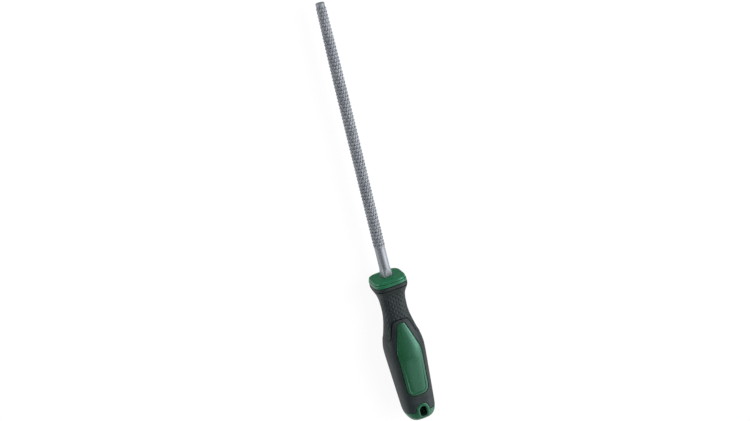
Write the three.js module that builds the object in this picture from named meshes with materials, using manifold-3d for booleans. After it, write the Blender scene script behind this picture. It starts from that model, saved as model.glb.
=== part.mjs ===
// A round wood rasp: a toothed steel bar whose square tang sits in a two-part moulded handle.
// Millimetres. The tool axis runs along X with the tip towards +X, and Z is square to the front panel.
// Places on the handle are measured from the front face of its collar back towards the butt.
import * as THREE from 'three';
import { mergeVertices } from 'three/addons/utils/BufferGeometryUtils.js';
import Module from 'manifold-3d';

const wasm = await Module();
wasm.setup();

// Room between two pieces, how far a cutting shape runs past what it cuts, and the sharpest moulded corner.
const fit_gap = 0.3;
const overrun = 1;
const least_round = 0.2;

// Steel bar, from the collar's face to the tip, and its hidden tang.
const steel_reach = 200;
const blank_diameter = 7.5;
const tip_diameter = 6.1;
const tip_taper_length = 60;
const tip_chamfer = 0.2;
const shank_diameter = 7.5;
const shank_length = 21;
const foot_side = 6.9;
const foot_length = 7;
const tang_length = 62;
const tang_end_side = 3;

// Teeth, punched in rings that are each turned by half a tooth.
const teeth_per_ring = 10;
const tooth_pitch = 2.5;
const tooth_height = 0.5;
const pit_depth = 0.35;

// Collar at the front of the handle: a domed face, a crease and a rounded rim.
const collar_width = 24.4;
const collar_thickness = 23.8;
const collar_depth = 4.7;
const collar_rim_depth = 2.7;
const collar_face_round = 2.6;
const collar_step = 0.35;
const collar_crease = 0.4;

// Flange of the sleeve behind the collar.
const flange_depth = 3;
const flange_groove = 0.5;

// Neck, belly and butt of the handle. The sides start to swell at the neck, the faces a little later.
const handle_length = 112.6;
const neck_length = 25;
const neck_width = 18.8;
const neck_thickness = 14.8;
const belly_width = 28.5;
const side_swell_length = 30.8;
const crown_thickness = 26.2;
const face_swell_delay = 9;
const face_swell_length = 28;
const butt_width = 23.6;
const butt_thickness = 21.8;
const butt_side_round = 13;
const butt_face_round = 8.5;
const butt_cap_length = 8.1;

// Sleeve over the core, with a sunk gripping field round the neck and two lobes of it along the sides.
const sleeve_wall = 2.4;
const field_margin = 1.4;
const field_lobe_length = 21;
const field_depth = 0.3;
const frame_width = 3.5;

// Hang slot through the butt, with a raised rim.
const slot_width = 5.2;
const slot_length = 8;
const slot_wall = 4.2;
const slot_back_round = 1.3;
const slot_rim_width = 2.4;
const slot_rim_proud = 0.3;

// Panels that show through the sleeve, one on the front and one on the back.
const panel_top_length = 10.3;
const panel_top_width = 5.6;
const panel_bend_width = 19;
const panel_bend_lead = 0.7;
const panel_end_width = 16.6;
const panel_slot_room = 7.4;
const panel_top_round = 1.7;
const panel_bend_round = 11;
const panel_end_round = 6;
const panel_proud = 0.2;
const bead_width = 1.3;
const bead_height = 0.3;

// How square each cross-section is: 2 is an ellipse, and higher numbers are squarer.
const collar_square = 4;
const neck_square = 2.5;
const belly_square = 3;
const foot_square = 10;
const round_square = 2;

// Facets.
const facets_handle = 32;
const facets_spine = 24;
const facets_corner = 4;

// Places along the handle that follow from these sizes.
const neck_place = neck_length;
const rise_place = neck_place + face_swell_delay;
const belly_place = neck_place + side_swell_length;
const crown_place = rise_place + face_swell_length;
const butt_place = handle_length - butt_side_round;
const sleeve_end_place = handle_length - butt_cap_length;
const slot_back_place = handle_length - slot_wall;
const slot_front_place = slot_back_place - slot_length;
const panel_top_place = neck_place + panel_top_length;
const panel_bend_place = belly_place - panel_bend_lead;
const panel_end_place = slot_front_place - slot_rim_width - panel_slot_room;

// Geometry from points and triangles.
function closedGeometry(points, triangles) {
  const geometry = new THREE.BufferGeometry().setFromPoints(points);
  geometry.setIndex(triangles);
  return geometry;
}

// Triangles of the skin between two rings of points, where the second ring lies further along +X.
function band(here, next, count) {
  const triangles = [];
  for (let step = 0; step < count; step += 1) {
    const after = (step + 1) % count;
    triangles.push(here + step, here + after, next + step);
    triangles.push(here + after, next + after, next + step);
  }
  return triangles;
}

// Triangles of a flat end over one ring of points, facing +X or -X.
function flatEnd(ring, count, forward) {
  const triangles = [];
  for (let step = 1; step < count - 1; step += 1) {
    const pair = forward ? [step, step + 1] : [step + 1, step];
    triangles.push(ring, ring + pair[0], ring + pair[1]);
  }
  return triangles;
}

// A closed skin through rings that go from the back to the front.
function loft(rings) {
  const count = rings[0].length;
  const triangles = flatEnd(0, count, false);
  for (let ring = 1; ring < rings.length; ring += 1) {
    triangles.push(...band((ring - 1) * count, ring * count, count));
  }
  triangles.push(...flatEnd((rings.length - 1) * count, count, true));
  return closedGeometry(rings.flat(), triangles);
}

// A solid that can be cut and joined. Where two corners have merged, the triangle between them goes.
function solid(geometry) {
  geometry.deleteAttribute('normal');
  geometry.deleteAttribute('uv');
  const merged = mergeVertices(geometry);
  const triangles = [];
  for (let k = 0; k < merged.index.count; k += 3) {
    const [a, b, c] = merged.index.array.slice(k, k + 3);
    if (a !== b && b !== c && c !== a) triangles.push(a, b, c);
  }
  return new wasm.Manifold(new wasm.Mesh({
    numProp: 3,
    vertProperties: merged.attributes.position.array,
    triVerts: Uint32Array.from(triangles),
  }));
}

// The geometry of such a solid.
function geometryOf(body) {
  const mesh = body.getMesh();
  const geometry = new THREE.BufferGeometry();
  geometry.setAttribute('position', new THREE.BufferAttribute(mesh.vertProperties, 3));
  geometry.setIndex(new THREE.BufferAttribute(mesh.triVerts, 1));
  geometry.computeVertexNormals();
  return geometry;
}

// A smooth rise from 0 to 1 as a place goes from start to end.
function rise(place, start, end) {
  return THREE.MathUtils.smoothstep(place, start, end);
}

// STEEL BAR

// Distance from the axis to the skin of a rounded square bar, at an angle round the axis.
function barRadius(half, square, angle) {
  const across = Math.abs(Math.cos(angle)) ** square;
  const up = Math.abs(Math.sin(angle)) ** square;
  return half / (across + up) ** (1 / square);
}

function barPoint(x, radius, angle) {
  return new THREE.Vector3(x, radius * Math.cos(angle), radius * Math.sin(angle));
}

// Each ring of the plain bar has two points for each tooth of a ring.
const bar_facets = 2 * teeth_per_ring;
const bar_step = 2 * Math.PI / bar_facets;
function barRing(x, half, square, turn = 0) {
  const ring = [];
  for (let step = 0; step < bar_facets; step += 1) {
    const angle = (step + turn) * bar_step;
    ring.push(barPoint(x, barRadius(half, square, angle), angle));
  }
  return ring;
}

// The tang and the foot of the shank. The socket is the same shape with room added to every side.
function tangRings(room) {
  return [
    barRing(-tang_length - room, tang_end_side / 2 + room, foot_square),
    barRing(0, foot_side / 2 + room, foot_square),
  ];
}

// The shank turns from a square foot to a round bar.
const foot_shares = [0.2, 0.45, 0.7, 1];
function shankRings() {
  return foot_shares.map((share) => barRing(
    foot_length * share,
    THREE.MathUtils.lerp(foot_side, shank_diameter, share) / 2,
    THREE.MathUtils.lerp(foot_square, round_square, Math.sqrt(share)),
  ));
}

// Radius of the blank between the teeth, which tapers over the last stretch.
const taper_power = 1.3;
function blankRadius(x) {
  const share = Math.max(0, x - (steel_reach - tip_taper_length)) / tip_taper_length;
  return THREE.MathUtils.lerp(blank_diameter, tip_diameter, share ** taper_power) / 2;
}

// One tooth fills a diamond between four points of the blank. Its crest stands over a pit on the side
// towards the tip, its two wings fall away to the sides and its back slopes down towards the handle.
const crest_share = 0.12;
const wing_share = -0.06;
const wing_side_share = 0.62;
const wing_height_share = 0.4;
const pit_share = 0.52;

function rasp() {
  const points = [...tangRings(0), ...shankRings()].flat();
  const triangles = flatEnd(0, bar_facets, false);
  for (let ring = bar_facets; ring < points.length; ring += bar_facets) {
    triangles.push(...band(ring - bar_facets, ring, bar_facets));
  }

  // Points of the blank, ring by ring. The first and last rings also have a point between each two.
  const tip_start = steel_reach - tip_chamfer;
  const last = Math.floor((tip_start - fit_gap - shank_length) / tooth_pitch);
  const land = [];
  for (let row = 0; row <= last; row += 1) {
    const x = shank_length + row * tooth_pitch;
    const edge = row === 0 || row === last;
    const radius = row === 0 ? shank_diameter / 2 : blankRadius(x);
    const turn = row % 2;
    land.push({ start: points.length, stride: edge ? 2 : 1, turn });
    const ring = barRing(x, radius, round_square, turn);
    points.push(...ring.filter((point, step) => edge || step % 2 === 0));
  }
  const landPoint = (row, tooth) => {
    const { start, stride } = land[row];
    return start + stride * ((tooth + teeth_per_ring) % teeth_per_ring);
  };
  triangles.push(...band(land[0].start - bar_facets, land[0].start, bar_facets));

  for (let row = 1; row < last; row += 1) {
    const x = shank_length + row * tooth_pitch;
    const radius = blankRadius(x);
    const { turn } = land[row];
    for (let tooth = 0; tooth < teeth_per_ring; tooth += 1) {
      const angle = (2 * tooth + turn + 1) * bar_step;
      const side = wing_side_share * bar_step;
      const wing = radius + tooth_height * wing_height_share;
      const crest = points.length;
      const left = crest + 1;
      const right = crest + 2;
      const pit = crest + 3;
      points.push(barPoint(x + crest_share * tooth_pitch, radius + tooth_height, angle));
      points.push(barPoint(x + wing_share * tooth_pitch, wing, angle - side));
      points.push(barPoint(x + wing_share * tooth_pitch, wing, angle + side));
      points.push(barPoint(x + pit_share * tooth_pitch, radius - pit_depth, angle));
      const west = landPoint(row, tooth);
      const east = landPoint(row, tooth + 1);
      const north = landPoint(row + 1, tooth + turn);
      const south = landPoint(row - 1, tooth + turn);
      triangles.push(north, west, left, north, left, pit, north, pit, right, north, right, east);
      triangles.push(pit, left, crest, pit, crest, right);
      triangles.push(left, west, south, left, south, crest, crest, south, right, right, south, east);
    }
  }

  // Plain half diamonds close the first and last rings.
  for (let tooth = 0; tooth < teeth_per_ring; tooth += 1) {
    const low = landPoint(0, tooth);
    const lowNext = landPoint(0, tooth + 1);
    const above = landPoint(1, tooth);
    triangles.push(low, low + 1, above, low + 1, lowNext, above);
    const high = landPoint(last, tooth);
    const highNext = landPoint(last, tooth + 1);
    const below = landPoint(last - 1, tooth + land[last].turn);
    triangles.push(below, high + 1, high, below, highNext, high + 1);
  }

  // The tip is ground flat with a small chamfer.
  const { turn } = land[last];
  const rim = points.length;
  points.push(...barRing(tip_start, blankRadius(tip_start), round_square, turn));
  points.push(...barRing(steel_reach, blankRadius(steel_reach) - tip_chamfer, round_square, turn));
  triangles.push(...band(land[last].start, rim, bar_facets));
  triangles.push(...band(rim, rim + bar_facets, bar_facets));
  triangles.push(...flatEnd(rim + bar_facets, bar_facets, true));
  return closedGeometry(points, triangles);
}

// OUTER FORM OF THE HANDLE

const flange_start = collar_depth + fit_gap;
const flange_end = collar_depth + flange_depth;

// The size of the handle at a place: it keeps the size of the flange at first, flares in to the neck, swells
// and then draws in evenly to the butt.
const flare_bend = 1.5;
const flare_power = 6;
function handleSize(place, size) {
  const past = THREE.MathUtils.clamp((place - flange_end) / (neck_place - flange_end), 0, 1);
  const flare = (1 - past ** flare_bend) ** flare_power;
  const swell = rise(place, size.rise, size.peak);
  const draw = Math.max(0, place - size.peak) / (butt_place - size.peak);
  return size.neck + (size.collar - size.neck) * flare + (size.belly - size.neck) * swell
    + (size.butt - size.belly) * draw;
}

const widths = {
  collar: collar_width,
  neck: neck_width,
  rise: neck_place,
  peak: belly_place,
  belly: belly_width,
  butt: butt_width,
};
const thicknesses = {
  collar: collar_thickness,
  neck: neck_thickness,
  rise: rise_place,
  peak: crown_place,
  belly: crown_thickness,
  butt: butt_thickness,
};

// The butt rounds over to a small flat end: the share of the size that is left at a place.
const butt_power = 3;
const butt_drop_share = 0.96;
function buttShare(place, round) {
  const share = Math.max(0, place - (handle_length - round)) / round;
  return (1 - butt_drop_share * share ** butt_power) ** (1 / butt_power);
}

// One rounded cross-section, square to the tool axis.
function section(place, halfWidth, halfThickness, square, facets) {
  const ring = [];
  for (let step = 0; step < facets; step += 1) {
    const angle = 2 * Math.PI * step / facets;
    const across = Math.cos(angle);
    const up = Math.sin(angle);
    const y = halfWidth * Math.sign(across) * Math.abs(across) ** (2 / square);
    const z = halfThickness * Math.sign(up) * Math.abs(up) ** (2 / square);
    ring.push(new THREE.Vector3(-place, y, z));
  }
  return ring;
}

// Cross-section of the whole handle, with its skin sunk by inset and then moved out by grow.
function handleSection(place, inset, grow, facets = facets_handle) {
  const square = collar_square + (neck_square - collar_square) * rise(place, flange_end, neck_place)
    + (belly_square - neck_square) * rise(place, neck_place, belly_place);
  const halfWidth = (handleSize(place, widths) / 2 - inset) * buttShare(place, butt_side_round);
  const halfThickness = (handleSize(place, thicknesses) / 2 - inset) * buttShare(place, butt_face_round);
  return section(place, halfWidth + grow, halfThickness + grow, square, facets);
}

// Cross-sections lie closer together where the form turns quickly.
const flare_shares = [0.08, 0.2, 0.34, 0.55, 1];
const swell_shares = [0.18, 0.36, 0.54, 0.72, 0.87, 1];
const draw_shares = [0.22, 0.6, 1];
const end_shares = [0.42, 0.68, 0.84, 0.94, 1];
const between = (start, end, shares) => shares.map((share) => THREE.MathUtils.lerp(start, end, share));
const smooth_places = [
  ...between(flange_end + flange_groove, neck_place, flare_shares),
  ...between(neck_place, belly_place, swell_shares),
  crown_place,
  ...between(crown_place, butt_place, draw_shares),
  ...between(butt_place, handle_length, end_shares),
];

// The outer skin of the handle behind the collar, with the groove behind the flange.
function handleBody(grow) {
  const rings = [
    handleSection(flange_start, flange_groove, grow),
    handleSection(flange_start + flange_groove, 0, grow),
    handleSection(flange_end - flange_groove, 0, grow),
    handleSection(flange_end, flange_groove, grow),
    handleSection(flange_end + flange_groove, 0, grow),
    ...smooth_places.map((place) => handleSection(place, 0, grow)),
  ];
  return solid(loft(rings.reverse()));
}

// The core under the sleeve: the same form sunk by the wall of the sleeve, and run on into the collar.
function spine(room) {
  const sunk = (place) => handleSection(place, 0, room - sleeve_wall, facets_spine);
  const front = sunk(flange_start);
  const lead = front.map((point) => new THREE.Vector3(-collar_depth / 2, point.y, point.z));
  return solid(loft([lead, front, ...smooth_places.map(sunk)].reverse()));
}

// A block that holds all of the handle between two places.
function slab(start, end) {
  const side = 2 * Math.max(belly_width, crown_thickness, collar_width, collar_thickness);
  return solid(new THREE.BoxGeometry(end - start, side, side).translate(-(start + end) / 2, 0, 0));
}

// An upright wall through the whole handle whose outline has rounded corners. Each corner gives a place, a
// distance to the side and a radius. The outline is moved out by grow.
function upright(corners, grow) {
  const ring = corners.map(([place, side, round]) => ({ at: new THREE.Vector2(-place, side), round }));
  const shape = new THREE.Shape();
  ring.forEach(({ at, round }, k) => {
    const before = ring[(k + ring.length - 1) % ring.length].at;
    const after = ring[(k + 1) % ring.length].at;
    const into = at.clone().sub(before).normalize();
    const out = after.clone().sub(at).normalize();
    const face = new THREE.Vector2(into.y, -into.x);
    const nextFace = new THREE.Vector2(out.y, -out.x);
    const reach = grow / (1 + face.dot(nextFace));
    const corner = at.clone().addScaledVector(face, reach).addScaledVector(nextFace, reach);
    const radius = Math.max(round + grow, least_round);
    const turn = Math.acos(into.dot(out));
    const centre = corner.clone().addScaledVector(into, -radius * Math.tan(turn / 2))
      .addScaledVector(face, -radius);
    shape.absarc(centre.x, centre.y, radius, face.angle(), nextFace.angle(), false);
  });
  const depth = 2 * Math.max(crown_thickness, collar_thickness);
  const wall = new THREE.ExtrudeGeometry(shape, { depth, bevelEnabled: false, curveSegments: facets_corner });
  return solid(wall.translate(0, 0, -depth / 2));
}

// Corners run anticlockwise as seen from the front, and each outline is the same on both sides of the axis.
function mirrored(side) {
  const other = side.map(([place, across, round]) => [place, -across, round]).reverse();
  return [...side, ...other];
}

const panel_corners = mirrored([
  [panel_top_place, panel_top_width / 2, panel_top_round],
  [panel_bend_place, panel_bend_width / 2, panel_bend_round],
  [panel_end_place, panel_end_width / 2, panel_end_round],
]);

const slot_corners = mirrored([
  [slot_front_place, slot_width / 2, slot_width / 2],
  [slot_back_place, slot_width / 2, slot_back_round],
]);

// HARD CORE

// The collar's rows go from its front face back: a place and how far the skin lies in from the rim.
function collar() {
  const dome_depth = collar_depth - collar_rim_depth;
  const dome_shares = [0, 0.1, 0.3, 0.6, 1];
  const rows = dome_shares.map((share) => [
    dome_depth * share,
    collar_step + collar_face_round * (1 - Math.sqrt(1 - (1 - share) ** 2)),
  ]);
  rows.push(
    [dome_depth + collar_crease / 2, collar_step + collar_crease],
    [dome_depth + collar_crease, collar_step],
    [dome_depth + 2 * collar_crease, 0],
    [collar_depth - collar_crease, 0],
    [collar_depth, collar_crease],
  );
  const rings = rows.map(([place, inset]) => (
    section(place, collar_width / 2 - inset, collar_thickness / 2 - inset, collar_square, facets_handle)
  ));
  return solid(loft(rings.reverse()));
}

// Each panel is a tray with a raised bead round its edge.
function panels() {
  const tray = upright(panel_corners, -bead_width)
    .subtract(handleBody(panel_proud - bead_height));
  return upright(panel_corners, 0).intersect(handleBody(panel_proud)).subtract(tray);
}

function core() {
  const socket = solid(loft([
    ...tangRings(fit_gap),
    barRing(overrun, foot_side / 2 + fit_gap, foot_square),
  ]));
  const butt = handleBody(0).intersect(slab(sleeve_end_place, handle_length + overrun));
  const slot_rim = upright(slot_corners, slot_rim_width).intersect(handleBody(slot_rim_proud));
  return spine(0).add(collar()).add(panels()).add(butt).add(slot_rim)
    .subtract(upright(slot_corners, 0))
    .subtract(socket);
}

// SOFT SLEEVE

function sleeve() {
  const frame = upright(panel_corners, frame_width);
  const field = slab(flange_end + field_margin, neck_place + field_lobe_length).subtract(frame)
    .subtract(handleBody(-field_depth));
  return handleBody(0)
    .subtract(slab(sleeve_end_place - fit_gap, handle_length + overrun))
    .subtract(spine(fit_gap))
    .subtract(upright(panel_corners, fit_gap))
    .subtract(upright(slot_corners, slot_rim_width + fit_gap))
    .subtract(field);
}

// ASSEMBLY

function piece(name, geometry, color, roughness, metalness) {
  const material = new THREE.MeshStandardMaterial({ color, roughness, metalness });
  const mesh = new THREE.Mesh(geometry, material);
  mesh.name = name;
  return mesh;
}

// The tool lies on its rear panel, with its origin under the middle of its length.
const rest_height = crown_thickness / 2 + panel_proud - bead_height;
const tool = new THREE.Group();
tool.add(piece('rasp_blade', rasp(), 0x8f949c, 0.35, 1));
tool.add(piece('handle_core', geometryOf(core()), 0x2c6548, 0.4, 0));
tool.add(piece('soft_grip', geometryOf(sleeve()), 0x35393b, 0.75, 0));
tool.position.set((handle_length - steel_reach) / 2, 0, rest_height);

export default tool;
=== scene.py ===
# %% [markdown]
# # Round wood rasp
#
# A round rasp is a steel bar with hundreds of punched teeth, pushed into a moulded handle. The handle
# is a hard green core, which shows as the collar, two long panels and the butt, and a soft grey sleeve
# that is moulded round that core. Each of these gets its own piece below.
#
# The CAD model comes first. It gives the sizes and the places, so it is loaded and measured before
# anything is drawn.

import math
import random

import bmesh
import bpy
from mathutils import Matrix, Vector
from mathutils.kdtree import KDTree


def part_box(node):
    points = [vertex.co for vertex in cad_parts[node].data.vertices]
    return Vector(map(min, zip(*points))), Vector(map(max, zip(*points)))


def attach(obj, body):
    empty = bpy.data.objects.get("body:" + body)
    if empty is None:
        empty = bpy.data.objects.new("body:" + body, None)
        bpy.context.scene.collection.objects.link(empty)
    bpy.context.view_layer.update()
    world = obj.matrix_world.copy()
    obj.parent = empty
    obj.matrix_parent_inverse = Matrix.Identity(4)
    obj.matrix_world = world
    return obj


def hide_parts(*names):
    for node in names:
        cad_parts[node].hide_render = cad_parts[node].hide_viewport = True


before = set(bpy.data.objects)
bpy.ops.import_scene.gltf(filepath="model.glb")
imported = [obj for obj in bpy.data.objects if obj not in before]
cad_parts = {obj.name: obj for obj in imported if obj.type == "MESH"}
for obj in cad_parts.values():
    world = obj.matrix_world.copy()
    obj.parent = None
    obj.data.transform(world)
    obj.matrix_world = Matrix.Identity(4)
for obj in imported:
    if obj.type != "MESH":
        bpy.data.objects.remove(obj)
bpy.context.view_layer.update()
print("nodes:", sorted(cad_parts))

# %% [markdown]
# ## Where the tool lies
#
# A maker measures a handle along its axis. So every piece is drawn in millimetres, with X along the
# steel, zero at the collar's front face and the axis at height zero. One matrix then carries the
# finished piece into the CAD model's frame, which is in metres. Its numbers come from the CAD boxes.

# %% Tool axis
core_low, core_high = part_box("handle_core")
steel_low, steel_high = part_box("rasp_blade")
collar_x = core_high.x
axis_z = (core_low.z + core_high.z) / 2
mm = 0.001
seat_in_frame = Matrix.Translation((collar_x, 0, axis_z)) @ Matrix.Scale(mm, 4)
steel_reach = (steel_high.x - collar_x) / mm
tang_length = (collar_x - steel_low.x) / mm
handle_length = (core_high.x - core_low.x) / mm
print(f"steel {steel_reach:.1f} mm and {tang_length:.1f} mm of tang inside the handle")
print(f"handle {handle_length:.1f} mm, axis {axis_z / mm:.1f} mm up")

# %% [markdown]
# ## Rolling a sheet
#
# Nearly every part of this tool is a skin round one axis. Such a skin could be spun, but only a round
# one, or it could be lofted ring by ring. Here a flat grid is made once and rolled up, as sheet metal
# is: each corner of the grid has a row and a column, and a seating rule says where that corner goes.
# Merging the doubled corners closes the seam.


# %% Rolled sheets
weld_gap = 0.0005


def rolled_sheet(rows, columns, seat, closed_ends=False):
    """A bmesh grid of rows by columns, rolled so that its last column meets its first."""
    bm = bmesh.new()
    steps = rows - 1
    bmesh.ops.create_grid(bm, x_segments=steps, y_segments=columns, size=0.5)
    for vert in bm.verts:
        row = round((vert.co.x + 0.5) * steps)
        column = round((vert.co.y + 0.5) * columns) % columns
        vert.co = seat(row, column)
    bmesh.ops.remove_doubles(bm, verts=bm.verts, dist=weld_gap)
    if closed_ends:
        bmesh.ops.holes_fill(bm, edges=[edge for edge in bm.edges if edge.is_boundary], sides=0)
    bmesh.ops.recalc_face_normals(bm, faces=bm.faces)
    return bm


# %% Keeping a piece
def keep_piece(name, bm, node, sharp_angle=38):
    """Carries a finished bmesh into the frame, hangs it under the root and hides the CAD node that it
    replaces.
    """
    bmesh.ops.transform(bm, matrix=seat_in_frame, verts=bm.verts)
    mesh = bpy.data.meshes.new(name)
    bm.to_mesh(mesh)
    bm.free()
    mesh.shade_smooth()
    mesh.set_sharp_from_angle(angle=math.radians(sharp_angle))
    piece = bpy.data.objects.new(name, mesh)
    bpy.context.scene.collection.objects.link(piece)
    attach(piece, "root")
    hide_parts(node)
    triangles = sum(len(face.vertices) - 2 for face in mesh.polygons)
    print(f"{name}: {triangles} triangles, {mesh.validate()} repairs")
    return piece


# %% [markdown]
# ## Rasp teeth
#
# A rasp tooth is made by a pointed punch that strikes the steel at a slant. The punch leaves a pit that
# narrows towards the tip, and it throws up a burr behind it. The burr is the tooth: steep on the side of
# the pit, where it cuts, and long and gentle on its back. Seventy rings of ten teeth sit on this bar, and
# each ring is turned by half a tooth.
#
# The teeth could be separate spikes joined to a rod, but real teeth are raised out of the bar itself. So
# the bar is one skin, and the rule below says how far a tooth lifts or sinks it. Places are measured from
# the tooth's own middle: `side` in tooth widths, `ahead` in millimetres towards the tip.

# %% One tooth
teeth_per_ring = 10
half_tooth = 0.5
tooth_pitch = 2.5
tooth_height = 0.55
pit_depth = 0.46
crest_ahead = 0.35
crest_half_width = 0.46
crest_bend = 0.75
back_length = 2.3
pit_length = 1.75
pit_half_width = 0.4


def crest_line(side):
    """How far ahead the crest lies. It is a crescent, so its ends lie further back."""
    return crest_ahead - crest_bend * min(1, abs(side) / crest_half_width) ** 2


def tooth_relief(side, ahead):
    """Height of one tooth over the blank bar, in millimetres. A pit is negative."""
    crest = crest_line(side)
    if ahead <= crest + 0.001:
        across = max(0, 1 - (abs(side) / crest_half_width) ** 2)
        climb = max(0, 1 - (crest - ahead) / back_length)
        return tooth_height * across**0.75 * climb**1.6
    past = (ahead - crest) / pit_length
    narrow = pit_half_width * max(0, 1 - past)
    if narrow <= 0 or abs(side) >= narrow:
        return 0
    return -pit_depth * (1 - past) ** 0.8 * (1 - (abs(side) / narrow) ** 2) ** 0.6


print("crest", tooth_relief(0, crest_ahead), "pit", round(tooth_relief(0, crest_ahead + 0.2), 2))

# %% [markdown]
# ## Steel bar
#
# The blank tapers a little over its last 60 mm and ends in a ground flat. Behind the teeth the shank is
# plain and turns from round to a square foot, which stops it from twisting in the handle. The square sits
# a few degrees round from the handle's own faces, so the foot shows two of its sides from the front.
#
# The rows of the sheet follow the teeth: eight rows for each ring, set close together at the crest and the
# pit, so that the cutting edge stays crisp with only 48 faces to a tooth. Six columns go to each tooth. A
# table of the rows is written from the foot to the tip, and each row knows the ring that it belongs to.

# %% Rows of the bar
blank_diameter = 7.5
tip_diameter = 6.1
tip_taper_length = 60
tip_chamfer = 0.2
tip_band = 1.2
plain_tip = 0.3
shank_diameter = 7.5
shank_length = 21
shank_blend = 3
foot_side = 6.9
foot_length = 5.5
foot_hidden = 6
foot_square = 10
foot_steps = 14
foot_turn = math.radians(12)
column_shares = [0, 0.14, 0.36, 0.5, 0.64, 0.86]
ring_steps = [-1.05, -0.7, -0.35, -0.05, 0.15, 0.35, 0.6, 1.0]
bend_weights = [0, 0.35, 0.8, 1, 1, 1, 0.9, 0.3]

shank_places = [-foot_hidden, -1, 0.3]
shank_places += [foot_length * step / foot_steps for step in range(1, foot_steps + 1)]
shank_places += [11, 16, shank_length - 0.6]
bar_rows = [("plain", place, 0) for place in shank_places]
last_ring = math.floor((steel_reach - tip_chamfer - plain_tip - shank_length) / tooth_pitch)
for ring in range(1, last_ring):
    for ahead, weight in zip(ring_steps, bend_weights):
        bar_rows.append((ring, ahead, weight))
tip_start = steel_reach - tip_chamfer
bar_rows += [("plain", tip_start - tip_band, 0), ("plain", tip_start, 0), ("end", steel_reach, 0)]
print(len(bar_rows), "rows for", last_ring - 1, "rings of teeth")


# %% Skin of the bar
def blank_radius(x):
    """Radius of the steel without its teeth."""
    if x <= shank_length:
        grown = min(1, max(0, x / foot_length))
        return (foot_side + (shank_diameter - foot_side) * grown) / 2
    share = max(0, x - (steel_reach - tip_taper_length)) / tip_taper_length
    blend = min(1, (x - shank_length) / shank_blend)
    blank = blank_diameter + (tip_diameter - blank_diameter) * share**1.3
    return (shank_diameter + (blank - shank_diameter) * blend) / 2


def round_reach(angle, half, square):
    """Distance from the axis to a rounded square of a given half side."""
    across, up = abs(math.cos(angle)) ** square, abs(math.sin(angle)) ** square
    return half / (across + up) ** (1 / square)


def relief_at(x, turns):
    """Height of the teeth at a place along the bar and round it. Each ring may reach into the next."""
    nearest = round((x - shank_length) / tooth_pitch)
    total = 0
    for ring in range(nearest - 1, nearest + 2):
        if 1 <= ring < last_ring:
            phase = (turns * teeth_per_ring - ring / 2 - half_tooth) % 1
            side = phase if phase < half_tooth else phase - 1
            total += tooth_relief(side, x - shank_length - ring * tooth_pitch)
    return total


# %% Struck bar
random.seed(11)
weak_blow, strong_blow = 0.95, 1.04
struck = [
    [random.uniform(weak_blow, strong_blow) for _ in range(2 * teeth_per_ring)]
    for _ in range(last_ring + 2)
]
bar_columns = teeth_per_ring * len(column_shares)


def seat_on_bar(row, column):
    """Where a corner of the sheet goes on the bar, with its share of the teeth."""
    kind, place, weight = bar_rows[row]
    tooth, share = divmod(column, len(column_shares))
    turns = (tooth + column_shares[share]) / teeth_per_ring
    angle = 2 * math.pi * turns
    relief = 0
    square = 2
    x = place
    if kind == "plain" and x < shank_length:
        square = foot_square - (foot_square - 2) * math.sqrt(min(1, max(0, x / foot_length)))
    elif kind not in ("plain", "end"):
        phase = (turns * teeth_per_ring - kind / 2 - half_tooth) % 1
        side = min(phase, 1 - phase)
        bend = weight * crest_bend * min(1, side / crest_half_width) ** 2
        bend *= max(0, 1 - (side / half_tooth) ** 6)
        x = shank_length + kind * tooth_pitch + place - bend
        relief = relief_at(x, turns) * struck[kind][tooth + (phase > half_tooth)]
    radius = round_reach(angle - foot_turn, blank_radius(x), square) + relief
    if kind == "end":
        radius -= tip_chamfer
    return Vector((x, radius * math.cos(angle), radius * math.sin(angle)))


bar = rolled_sheet(len(bar_rows), bar_columns, seat_on_bar, closed_ends=True)
blade = keep_piece("rasp_blade_toothed", bar, "rasp_blade", sharp_angle=50)

# %% [markdown]
# ## Form of the handle
#
# The handle swells and draws in along its length, and its cross-section changes from nearly square at the
# collar to an oval at the neck. Each section is a superellipse: an ellipse whose power is raised, so that
# its corners fill out. The sizes here are those of the CAD model, so that the dressed pieces sit on it.
#
# A section is given by the distance from the axis at an angle. That spreads the points evenly round the
# handle, and the same angle stays on one line from the collar to the butt.

# %% Sections of the handle
collar_depth, flange_end, neck_place = 4.7, 7.7, 25
belly_place, crown_place = 55.8, 62
butt_place = handle_length - 13
sleeve_end = handle_length - 8.1
collar_square, neck_square, belly_square = 4, 2.5, 3
peak_round = 4
butt_blunt = 0.96
widths = {"collar": 24.4, "neck": 18.8, "belly": 28.5, "butt": 23.6}
widths.update({"rise": neck_place, "peak": belly_place, "round": 13})
depths = {"collar": 23.8, "neck": 14.8, "belly": 26.2, "butt": 21.8}
depths.update({"rise": 34, "peak": crown_place, "round": 8.5})
print("belly:", widths["belly"], "mm wide and", depths["belly"], "mm thick before the butt draws it in")


# %% Size at a place
def eased(place, start, end):
    """A smooth rise from 0 to 1 between two places."""
    share = min(1, max(0, (place - start) / (end - start)))
    return share * share * (3 - 2 * share)


def full_size(place, size):
    """Width or thickness of the handle at a place, before the butt rounds over."""
    past = min(1, max(0, (place - flange_end) / (neck_place - flange_end)))
    flare = (size["collar"] - size["neck"]) * (1 - past**1.5) ** 6
    swell = (size["belly"] - size["neck"]) * eased(place, size["rise"], size["peak"])
    behind = place - size["peak"]
    if behind < peak_round:
        behind = max(0, behind + peak_round) ** 2 / (4 * peak_round)
    draw = behind / (butt_place - size["peak"])
    return size["neck"] + flare + swell + (size["butt"] - size["belly"]) * draw


def butt_share(place, size):
    """The share of the size that is left where the butt rounds over."""
    share = max(0, place - (handle_length - size["round"])) / size["round"]
    return (1 - butt_blunt * min(1, share) ** 3) ** (1 / 3)


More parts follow.
